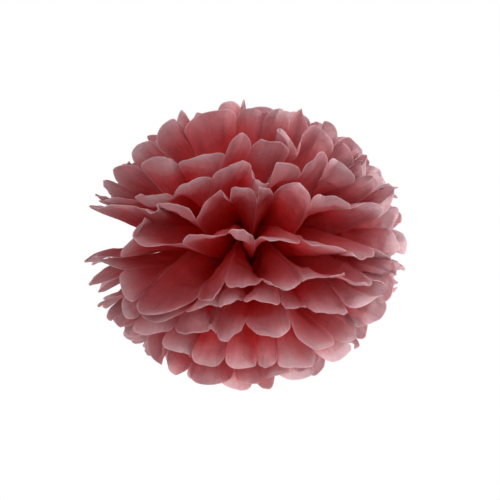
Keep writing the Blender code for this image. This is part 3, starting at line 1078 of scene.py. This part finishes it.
@dataclass
class TieWire:
    """The wire: once round the neck of the stack, with its ends twisted together above it."""

    stack: PleatedStack
    material: bpy.types.Material
    diameter: float = 0.0009
    # Room between the wire and the pressed paper, so that they never cross.
    clearance: float = 0.0004
    corner_radius: float = 0.0015
    corner_steps: int = 6
    twist_radius: float = 0.00075
    twist_pitch: float = 0.0055
    twist_length: float = 0.0170
    steps_per_turn: int = 18
    sides: int = 5

    def build(self) -> bpy.types.Object:
        """Make the wire, dress it and put it in the CAD wire's place.

        Returns:
            The wire.
        """
        stack, radius = self.stack, self.diameter / 2
        pile = len(stack.sheet_lifts) * (stack.paper_thickness + stack.sheet_gap)
        half_height = (pile + stack.neck_pleat_height) / 2 + self.clearance + radius
        half_width = stack.neck_width / 2 + self.clearance + radius
        bottom = half_height + 2 * radius
        path = self._strand(0, bottom)[::-1]
        path += self._loop(half_width, half_height, 2 * self.twist_radius)
        path += self._strand(180, bottom)
        curve = bpy.data.curves.new("tie_wire_steel", "CURVE")
        curve.dimensions = "3D"
        curve.bevel_depth = radius
        curve.bevel_resolution = self.sides
        curve.use_fill_caps = True
        spline = curve.splines.new("POLY")
        spline.points.add(len(path) - 1)
        for point, where in zip(spline.points, path):
            point.co = (*where, 1)
        curve.materials.append(self.material)
        obj = bpy.data.objects.new("tie_wire_steel", curve)
        bpy.context.scene.collection.objects.link(obj)
        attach(obj, BODY)
        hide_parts(WIRE_NODE)
        return obj

    def _loop(self, half_width: float, half_height: float, opening: float) -> list[Vector]:
        """Rounded rectangle round the neck, from right of the top opening to left of it.

        Args:
            half_width: Half the width between the wire's middles.
            half_height: Half the height between them.
            opening: How far from the middle the loop starts and ends.

        Returns:
            The points of the loop.
        """
        points = [(opening, half_height)]
        for side, level, start in ((1, 1, 90), (1, -1, 0), (-1, -1, -90), (-1, 1, -180)):
            x = side * (half_width - self.corner_radius)
            z = level * (half_height - self.corner_radius)
            for step in range(self.corner_steps + 1):
                angle = math.radians(start - 90 * step / self.corner_steps)
                right = self.corner_radius * math.cos(angle)
                points.append((x + right, z + self.corner_radius * math.sin(angle)))
        points.append((-opening, half_height))
        return [Vector((x, 0, z)) for x, z in points]

    def _strand(self, phase: float, bottom: float) -> list[Vector]:
        """One strand of the twisted ends, from the tie upwards.

        Args:
            phase: Where the strand starts round the twist.
            bottom: Height of the twist's foot.

        Returns:
            The points of the strand.
        """
        count = round(self.steps_per_turn * self.twist_length / self.twist_pitch)
        points = []
        for step in range(count + 1):
            angle = math.radians(phase) + 2 * math.pi * step / self.steps_per_turn
            x, y = self.twist_radius * math.cos(angle), self.twist_radius * math.sin(angle)
            points.append(Vector((x, y, bottom + self.twist_length * step / count)))
        return points


@dataclass(frozen=True)
class Lamp:
    """One soft studio lamp, aimed at the ball."""

    name: str
    place: tuple[float, float, float]
    size: float
    watts: float


@dataclass
class Studio:
    """Camera, soft lamps, white surroundings and a pale floor below the hanging ball."""

    distance: float = 1.5
    # Millimetres of the ball's middle plane in one pixel of a 500 pixel wide picture.
    pixel: float = 0.94
    picture: int = 500
    # Where the tie lies in the picture.
    middle: tuple[float, float] = (247, 243)
    sensor: float = 36.0
    white: str = "ffffff"
    # How bright the surroundings are as light on the ball. The camera sees them plain white.
    surround: float = 0.78
    floor_drop: float = 1.2
    floor_size: float = 8.0
    floor_paint: str = "f4f3f1"
    floor_roughness: float = 0.9
    # How much of the floor's colour is plain white to the camera, and not paint and shadow.
    floor_white: float = 0.85
    lamps: tuple[Lamp, ...] = (
        Lamp("key_lamp", (1.3, -1.5, 1.9), 1.6, 23),
        Lamp("fill_lamp", (-1.8, -1.9, 0.6), 1.6, 9),
        Lamp("right_back_lamp", (1.9, 1.1, 0.1), 1.4, 72),
        Lamp("under_back_lamp", (0.5, 1.2, -0.9), 1.2, 15),
    )

    def build(self) -> None:
        """Set up everything around the ball."""
        self._camera()
        for lamp in self.lamps:
            self._lamp(lamp)
        self._world()
        self._floor()

    def _camera(self) -> None:
        """Add the camera, level with the tie."""
        data = bpy.data.cameras.new("photo_camera")
        data.sensor_width = self.sensor
        # The distance goes from metres to millimetres, as the sensor and the pixel are.
        data.lens = self.sensor * self.distance * 1000 / (self.picture * self.pixel)
        half = self.picture / 2
        data.shift_x = (half - self.middle[0]) / self.picture
        data.shift_y = (self.middle[1] - half) / self.picture
        camera = bpy.data.objects.new("photo_camera", data)
        camera.location = (0, -self.distance, 0)
        camera.rotation_euler = (math.radians(90), 0, 0)
        bpy.context.scene.collection.objects.link(camera)
        bpy.context.scene.camera = camera

    def _lamp(self, lamp: Lamp) -> None:
        """Add one lamp.

        Args:
            lamp: The lamp.
        """
        data = bpy.data.lights.new(lamp.name, "AREA")
        data.size = lamp.size
        data.energy = lamp.watts
        obj = bpy.data.objects.new(lamp.name, data)
        obj.location = lamp.place
        obj.rotation_euler = (-Vector(lamp.place)).to_track_quat("-Z", "Y").to_euler()
        bpy.context.scene.collection.objects.link(obj)

    def _world(self) -> None:
        """White where the camera looks, and an even soft light everywhere else."""
        world = bpy.data.worlds.new("white_studio")
        world.use_nodes = True
        tree = world.node_tree
        tree.nodes.clear()
        path = add_node(tree, "ShaderNodeLightPath", {})
        seen = path.outputs["Is Camera Ray"]
        for other in ("Is Glossy Ray", "Is Transmission Ray"):
            either = {0: seen, 1: path.outputs[other]}
            seen = add_node(tree, MATH, {"operation": "MAXIMUM"}, either).outputs["Value"]
        white = linear(self.white)
        soft = add_node(tree, "ShaderNodeBackground", {"Color": white, "Strength": self.surround})
        plain = add_node(tree, "ShaderNodeBackground", {"Color": white, "Strength": 1.0})
        both = add_node(
            tree,
            "ShaderNodeMixShader",
            {},
            {"Fac": seen, 1: soft.outputs["Background"], 2: plain.outputs["Background"]},
        )
        add_node(tree, "ShaderNodeOutputWorld", {}, {"Surface": both.outputs["Shader"]})
        bpy.context.scene.world = world

    def _floor(self) -> None:
        """Add the matt pale floor, which the camera sees nearly as white as the surroundings."""
        material, tree = new_material("matt_white_floor")
        paint = add_node(
            tree,
            "ShaderNodeBsdfPrincipled",
            {"Base Color": linear(self.floor_paint), "Roughness": self.floor_roughness},
        )
        plain = {"Color": linear(self.white), "Strength": 1.0}
        white = add_node(tree, "ShaderNodeEmission", plain)
        seen = add_node(tree, "ShaderNodeLightPath", {}).outputs["Is Camera Ray"]
        share = {"operation": "MULTIPLY", 1: self.floor_white}
        paler = add_node(tree, MATH, share, {0: seen})
        both = add_node(
            tree,
            "ShaderNodeMixShader",
            {},
            {"Fac": paler.outputs["Value"], 1: paint.outputs["BSDF"], 2: white.outputs["Emission"]},
        )
        add_node(tree, "ShaderNodeOutputMaterial", {}, {"Surface": both.outputs["Shader"]})
        half = self.floor_size / 2
        corners = [(-half, -half), (half, -half), (half, half), (-half, half)]
        mesh = bpy.data.meshes.new("studio_floor")
        mesh.from_pydata([(x, y, -self.floor_drop) for x, y in corners], [], [(0, 1, 2, 3)])
        mesh.materials.append(material)
        floor = bpy.data.objects.new("studio_floor", mesh)
        bpy.context.scene.collection.objects.link(floor)


def main() -> None:
    """Build the pom pom and the studio round it."""
    logging.basicConfig(level=logging.INFO, format="%(message)s")
    bpy.context.scene.view_settings.view_transform = "Standard"
    stack = PleatedStack()
    Studio().build()
    log.info("studio is set up")
    paper = TissuePaper(stack.pleat_width).material()
    for number in range(len(stack.sheet_lifts)):
        sheet = TissueSheet(stack, number, paper).build()
        log.info("%s: %d faces", sheet.name, len(sheet.data.polygons))
    wire = TieWire(stack, GalvanisedWire().material()).build()
    log.info("%s is tied", wire.name)


if __name__ == "__main__":
    main()
